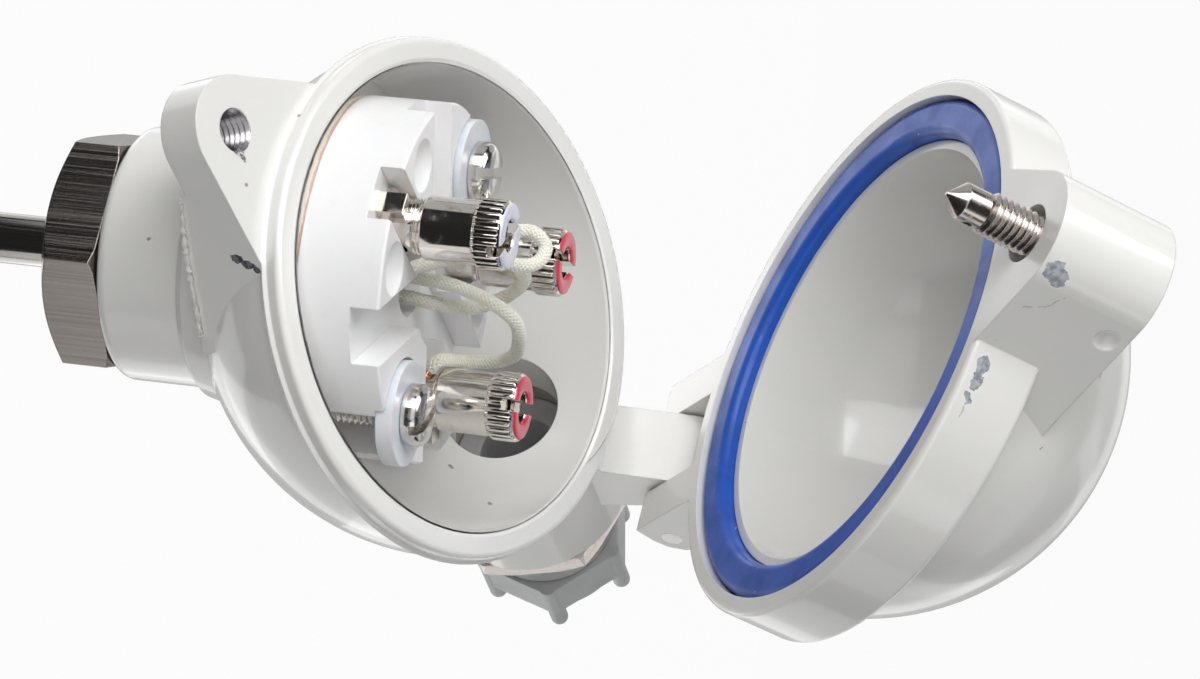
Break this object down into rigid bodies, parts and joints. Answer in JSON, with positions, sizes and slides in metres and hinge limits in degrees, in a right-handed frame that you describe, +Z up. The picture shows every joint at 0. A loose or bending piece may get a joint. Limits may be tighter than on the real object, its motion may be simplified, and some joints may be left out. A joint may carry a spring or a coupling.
{
  "type": "rtd probe with connection head",
  "caption": "Thin stainless probe stem on a hexagon fitting, with a round die-cast head, its hinged domed lid open over a ceramic terminal block, and a cable gland.",
  "frame": {"origin": "on the probe axis, at the lower face of the hexagon, where the bare stem begins", "axes": "+Z up the probe axis into the head, +X from the probe axis to the lid hinge and the cable gland, +Y square to both"},
  "size_m": [0.104, 0.0666, 0.2315],
  "materials": {
    "casting_paint": "glossy light grey enamel on die-cast aluminium",
    "hexagon_steel": "turned and milled stainless steel",
    "stem_steel": "drawn stainless tube",
    "element_ceramic": "fired alumina",
    "core_ceramic": "packed magnesia",
    "gasket_fibre": "pressed fibre with red-brown faces",
    "block_ceramic": "white glazed steatite",
    "terminal_nickel": "bright nickel plate on brass",
    "sleeve_white": "bright nickel plate with a white painted face",
    "sleeve_red": "bright nickel plate with a red painted face",
    "screw_steel": "bright plated steel",
    "washer_nylon": "milky nylon",
    "lead_braid": "cream glass-fibre braid",
    "seal_rubber": "smooth blue silicone",
    "lid_screw_steel": "turned stainless steel",
    "reducer_nickel": "nickel plated brass",
    "gland_plastic": "light grey polyamide",
    "gland_rubber": "black rubber"
  },
  "bodies": {
    "head": {"head_body": "casting_paint", "hex_fitting": "hexagon_steel", "probe_stem": "stem_steel", "sensing_element": "element_ceramic", "insulator_core": "core_ceramic", "fibre_gasket": "gasket_fibre", "terminal_block": "block_ceramic", "terminal_post_1": "terminal_nickel", "terminal_post_2": "terminal_nickel", "terminal_post_3": "terminal_nickel", "mount_washer_1": "washer_nylon", "mount_washer_2": "washer_nylon", "lead_wire_1": "lead_braid", "lead_wire_2": "lead_braid", "lead_wire_3": "lead_braid", "gland_reducer": "reducer_nickel", "gland_body": "gland_plastic", "gland_seal": "gland_rubber"},
    "lid": {"lid": "casting_paint", "lid_seal": "seal_rubber", "hinge_pin": "screw_steel"},
    "lid_screw_carrier": {"lid_screw_washer": "screw_steel"},
    "lid_screw": {"lid_screw": "lid_screw_steel"},
    "sleeve_1": {"terminal_sleeve_1": "sleeve_white"},
    "sleeve_2": {"terminal_sleeve_2": "sleeve_red"},
    "sleeve_3": {"terminal_sleeve_3": "sleeve_red"},
    "mount_screw_1": {"mount_screw_1": "screw_steel"},
    "mount_screw_2": {"mount_screw_2": "screw_steel"},
    "gland_nut": {"gland_nut": "gland_plastic"}
  },
  "joints": [
    {"name": "lid_hinge", "type": "hinge", "parent": "head", "child": "lid", "pos_m": [0.03891, 0, 0.06754], "axis": [0, -1, 0], "range_deg": [-33, 55]},
    {"name": "lid_screw_slide", "type": "slide", "parent": "lid", "child": "lid_screw_carrier", "axis": [0.6428, 0, 0.766], "range_m": [0, 0.009]},
    {"name": "lid_screw_turn", "type": "hinge", "parent": "lid_screw_carrier", "child": "lid_screw", "pos_m": [-0.02397, 0, 0.11704], "axis": [0.6428, 0, 0.766], "continuous": true},
    {"name": "sleeve_1_turn", "type": "hinge", "parent": "head", "child": "sleeve_1", "pos_m": [-0.01359, -0.0004, 0.05], "axis": [0, 0, 1], "continuous": true},
    {"name": "sleeve_2_turn", "type": "hinge", "parent": "head", "child": "sleeve_2", "pos_m": [0.0091, -0.01011, 0.05], "axis": [0, 0, 1], "continuous": true},
    {"name": "sleeve_3_turn", "type": "hinge", "parent": "head", "child": "sleeve_3", "pos_m": [0.00945, 0.00978, 0.05], "axis": [0, 0, 1], "continuous": true},
    {"name": "mount_screw_1_turn", "type": "hinge", "parent": "head", "child": "mount_screw_1", "pos_m": [0, -0.0172, 0.045], "axis": [0, 0, 1], "continuous": true},
    {"name": "mount_screw_2_turn", "type": "hinge", "parent": "head", "child": "mount_screw_2", "pos_m": [0, 0.0155, 0.045], "axis": [0, 0, 1], "continuous": true},
    {"name": "gland_nut_turn", "type": "hinge", "parent": "head", "child": "gland_nut", "pos_m": [0.062, 0, 0.0455], "axis": [1, 0, 0], "continuous": true}
  ]
}
